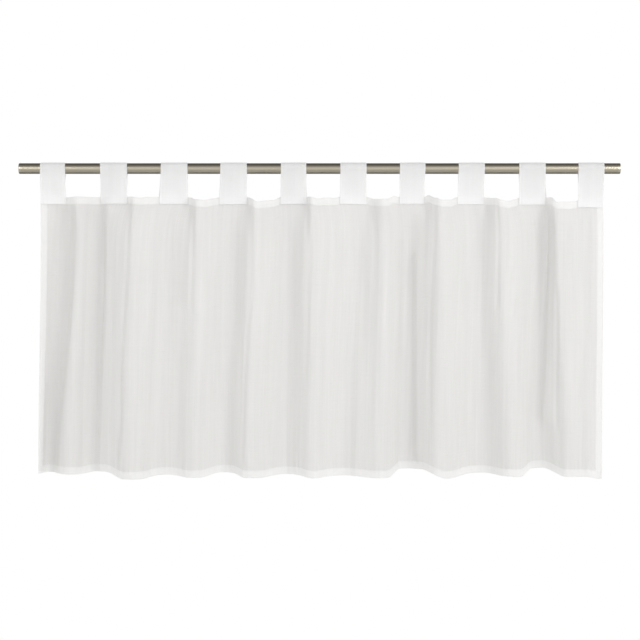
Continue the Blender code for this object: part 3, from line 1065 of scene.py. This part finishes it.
class CURTAIN_OT_rod(bpy.types.Operator):
    """Make the plain tube on which the curtain hangs."""

    bl_idname = "curtain.rod"
    bl_label = "Rod"

    def execute(self, context):
        rod = context.scene.curtain_rod
        bore = ROD_RADIUS - rod.wall
        turn = np.linspace(0, math.pi / 2, 4)[1:-1]
        rim = [(rod.edge_break * (1 - math.sin(a)), ROD_RADIUS - rod.edge_break * (1 - math.cos(a)))
               for a in turn]
        left = [(BORE_DEPTH, 0.0), (BORE_DEPTH, bore), (BORE_BREAK, bore), (0.0, bore + BORE_BREAK),
                (0.0, ROD_RADIUS - rod.edge_break), *rim, (rod.edge_break, ROD_RADIUS)]
        middle = [(x, ROD_RADIUS) for x in np.linspace(0.004, ROD_LENGTH - 0.004, 24)]
        right = [(ROD_LENGTH - x, radius) for x, radius in reversed(left)]
        mesh = lathe_mesh("steel_rod", left + middle + right, ROD_SIDES)
        piece = add_piece("steel_rod", mesh, make_brushed_steel())
        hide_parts("rod")
        return {"FINISHED"}


class CURTAIN_OT_tabs(bpy.types.Operator):
    """Make the ten tabs and their topstitching."""

    bl_idname = "curtain.tabs"
    bl_label = "Tabs"

    def execute(self, context):
        cloth = make_tab_cloth()
        thread = make_thread()
        shares = tab_columns()
        for number in range(len(TABS)):
            path, normals, along = strap_at(number, shares)
            half = strap_half(shares, along)
            rows = tab_rows(len(path))
            down = along[rows] - along[-1] + TAB_LENGTH
            flat = np.stack(np.meshgrid(shares * TAB_WIDTH + number * TAB_STRIDE, down), axis=-1)
            name = f"cloth_tab_{number + 1:02d}"
            mesh = shell_mesh(name, path[rows], normals[rows], half[rows], -half[rows], flat)
            piece = add_piece(name, mesh, cloth)
            name = f"tab_thread_{number + 1:02d}"
            stitches = add_piece(name, stitch_mesh(name, tab_seams(number)), thread)
            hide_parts(f"tab_{number + 1:02d}")
        return {"FINISHED"}


class CURTAIN_OT_panel(bpy.types.Operator):
    """Make the panel with its folds and hems."""

    bl_idname = "curtain.panel"
    bl_label = "Panel"

    def execute(self, context):
        drops = panel_drops()
        across = panel_columns()
        points, normals = cloth_at(drops, across)
        outer, inner = cloth_faces(drops, across)
        flat = np.stack(np.meshgrid(across, drops), axis=-1)
        mesh = shell_mesh("cloth_panel", points, normals, outer, inner, flat)
        panel = add_piece("cloth_panel", mesh, make_sheer_cloth())
        stitches = add_piece("panel_thread", stitch_mesh("panel_thread", panel_seams()),
                             bpy.data.materials["white_thread"])
        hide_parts("panel")
        return {"FINISHED"}


def make_room(studio):
    """World: white to the camera, even to cloth, and to steel light in front and dim above."""
    world = bpy.data.worlds.new("studio_room")
    finish = Finish(world)
    towards = finish.node("ShaderNodeTexCoord", {}, {}, "Generated")
    level = finish.node("ShaderNodeSeparateXYZ", {}, {"Vector": towards}, "Z")
    stops = [(0.0, 0.40), (0.25, 0.60), (0.44, 0.84), (0.58, 0.68), (0.78, 0.40), (0.97, 0.12)]
    height = finish.node("ShaderNodeValToRGB", {"stops": stops},
                         {"Fac": 0.5 + 0.5 * level}, "Color")
    dimmed = finish.blend(finish.ease(level.beside("Y"), -0.1, 0.7), WHITE, toned(WHITE, 0.25))
    seen = finish.node("ShaderNodeMix", {"data_type": "RGBA", "blend_type": "MULTIPLY"},
                       {"Factor_Float": 1.0, "A_Color": height, "B_Color": dimmed}, "Result_Color")
    rays = finish.node("ShaderNodeLightPath", {}, {}, "Is Camera Ray")
    even = studio.room_light * (1.0 - 0.55 * finish.ease(level, 0.0, 1.0))
    lit = finish.blend(rays.beside("Is Glossy Ray"), even, seen)
    shown = finish.blend(rays, lit, WHITE)
    light = finish.node("ShaderNodeBackground", {}, {"Color": shown, "Strength": 1.0})
    finish.node("ShaderNodeOutputWorld", {}, {"Surface": light})
    bpy.context.scene.world = world


def make_floor(studio):
    """Round pale floor below the curtain: rings of points, the outermost 2 m from its middle."""
    sides = 96
    radius = np.array([0.05, 0.5, 1.0, 1.5, 2.0])
    turn = np.arange(sides) * 2 * math.pi / sides
    rings = np.empty((len(radius), sides, 3))
    rings[..., 0] = ROD_LENGTH / 2 + radius[:, None] * np.cos(turn)
    rings[..., 1] = radius[:, None] * np.sin(turn)
    rings[..., 2] = -studio.floor_drop
    ring = np.arange(len(radius) * sides).reshape(-1, sides)
    faces = ring_walls(ring).tolist() + [ring[0].tolist()]
    mesh = new_mesh("studio_floor", rings.reshape(-1, 3), faces)
    finish = Finish(bpy.data.materials.new("pale_floor"))
    place = finish.node("ShaderNodeTexCoord", {}, {}, "Object")
    mottle = finish.noise(place, (3.0, 3.0, 3.0))
    colour = studio.floor_colour
    tint = finish.blend(mottle, toned(colour), toned(colour, 0.97))
    shader = finish.principled({"Base Color": tint, "Roughness": 0.9})
    mesh.materials.append(finish.surface(shader))
    link_object("studio_floor", mesh)


def add_light(name, place, target, size, power, on_cloth=True):
    """Square soft light that faces a target. Off the cloth, it shows in polished steel alone."""
    light = bpy.data.lights.new(name, "AREA")
    light.size = size
    light.energy = power
    lamp = link_object(name, light)
    lamp.location = place
    lamp.rotation_euler = (Vector(target) - Vector(place)).to_track_quat("-Z", "Y").to_euler()
    lamp.visible_diffuse = on_cloth
    lamp.visible_transmission = on_cloth


def add_flag(name, line, level):
    """Grey card longer than the rod, over a line of depth and height. Only steel sees it."""
    ends = np.array([-0.4, ROD_LENGTH + 0.4])
    corners = [(ends[side], *line[end]) for side, end in ((0, 0), (1, 0), (1, 1), (0, 1))]
    mesh = new_mesh(name, corners, [(0, 1, 2, 3)])
    finish = Finish(bpy.data.materials.new(name))
    shader = finish.principled({"Base Color": toned(WHITE, level), "Roughness": 1.0})
    mesh.materials.append(finish.surface(shader))
    flag = link_object(name, mesh)
    flag.visible_camera = False
    flag.visible_diffuse = False
    flag.visible_transmission = False
    flag.visible_shadow = False


class CURTAIN_OT_studio(bpy.types.Operator):
    """Make the floor, the light and the camera."""

    bl_idname = "curtain.studio"
    bl_label = "Studio"

    def execute(self, context):
        scene = context.scene
        studio = scene.curtain_studio
        make_room(studio)
        make_floor(studio)
        add_light("key_light", (4.75, -3.8, 1.25), (0.45, 0.0, -0.25), 2.0, studio.key_power)
        add_light("right_gleam", (2.0, -1.9, 0.35), (0.75, 0.0, 0.0), 0.8, 25.0, on_cloth=False)
        add_light("left_gleam", (-0.9, -1.9, 0.30), (0.10, 0.0, 0.0), 0.8, 8.0, on_cloth=False)
        add_flag("rear_card", [(0.12, -0.02), (0.12, -0.70)], 0.08)
        add_flag("floor_card", [(0.12, -1.15), (-1.50, -1.15)], 0.54)
        data = bpy.data.cameras.new("front_camera")
        data.lens = data.sensor_width * studio.distance / studio.view_width
        camera = link_object("front_camera", data)
        camera.location = (VIEW_X, -studio.distance, VIEW_Z)
        camera.rotation_euler = (math.pi / 2, 0.0, 0.0)
        scene.camera = camera
        scene.view_settings.view_transform = "Standard"
        return {"FINISHED"}


class CURTAIN_PT_make(bpy.types.Panel):
    """Sizes, colours and the steps that make the curtain."""

    bl_idname = "CURTAIN_PT_make"
    bl_label = "Cafe Curtain"
    bl_space_type = "VIEW_3D"
    bl_region_type = "UI"
    bl_category = "Curtain"

    def draw(self, context):
        for step, group in STEPS:
            box = self.layout.box()
            settings = getattr(context.scene, group)
            for name in type(settings).__annotations__:
                box.prop(settings, name)
            box.operator(f"curtain.{step}")


STEPS = [
    ("rod", "curtain_rod"),
    ("tabs", "curtain_tabs"),
    ("panel", "curtain_cloth"),
    ("studio", "curtain_studio"),
]
GROUPS = {
    "curtain_cloth": CurtainCloth,
    "curtain_tabs": CurtainTabs,
    "curtain_thread": CurtainThread,
    "curtain_rod": CurtainRod,
    "curtain_studio": CurtainStudio,
}
TOOLS = [CURTAIN_OT_rod, CURTAIN_OT_tabs, CURTAIN_OT_panel, CURTAIN_OT_studio, CURTAIN_PT_make]


def register():
    """Add the settings, the operators and the panel to Blender."""
    for name, group in GROUPS.items():
        bpy.utils.register_class(group)
        setattr(bpy.types.Scene, name, bpy.props.PointerProperty(type=group))
    for tool in TOOLS:
        bpy.utils.register_class(tool)


def unregister():
    """Take the panel, the operators and the settings out of Blender."""
    for tool in reversed(TOOLS):
        bpy.utils.unregister_class(tool)
    for name, group in reversed(GROUPS.items()):
        delattr(bpy.types.Scene, name)
        bpy.utils.unregister_class(group)


def main():
    register()
    for step, _ in STEPS:
        getattr(bpy.ops.curtain, step)()


if __name__ == "__main__":
    main()
